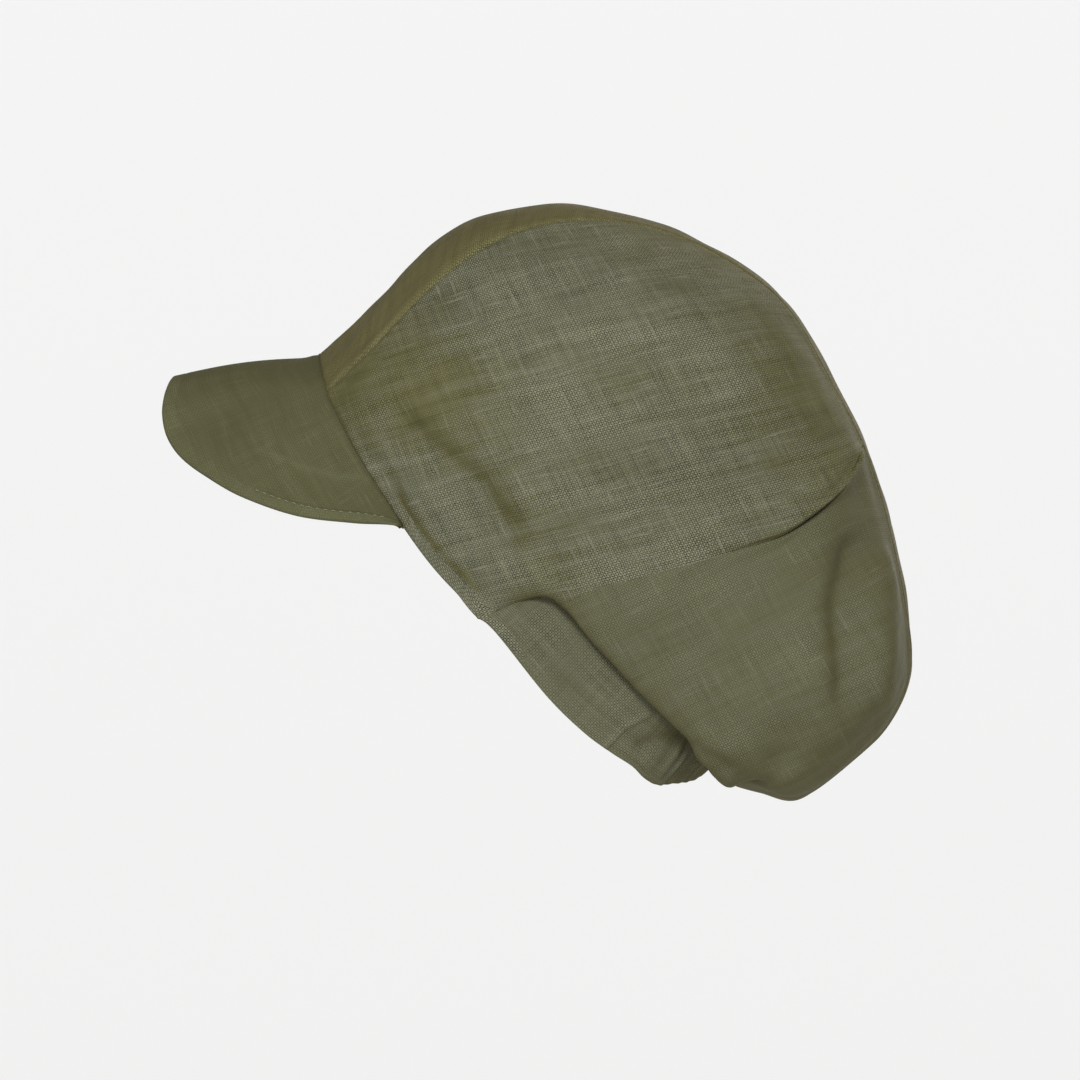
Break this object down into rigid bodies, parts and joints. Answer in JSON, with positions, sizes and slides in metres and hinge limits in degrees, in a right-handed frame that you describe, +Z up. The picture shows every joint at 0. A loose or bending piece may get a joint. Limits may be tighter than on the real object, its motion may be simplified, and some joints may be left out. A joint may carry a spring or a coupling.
{
  "type": "slouching cap with a visor",
  "caption": "Slouching woven linen cap with a stiff curved visor, a strip over the top, seamed side panels, a hanging bag at the back and a gathered elastic band at the nape.",
  "frame": {"origin": "middle of the opening that the head goes into", "axes": "+Z up as worn, -X the front with the visor, -Y the wearer's left side"},
  "size_m": [0.3216, 0.2214, 0.255],
  "materials": {
    "centre_linen": "matte plain-woven linen with slubs",
    "side_linen": "matte plain-woven linen with slubs",
    "back_linen": "matte plain-woven linen with slubs",
    "band_linen": "matte plain-woven linen, gathered",
    "peak_linen": "matte plain-woven linen over a stiff sheet, with a stitched edge"
  },
  "bodies": {
    "root": {"centre_panel": "centre_linen", "left_side_panel": "side_linen", "right_side_panel": "side_linen", "left_back_panel": "back_linen", "right_back_panel": "back_linen", "back_band": "band_linen", "peak": "peak_linen"}
  },
  "joints": []
}
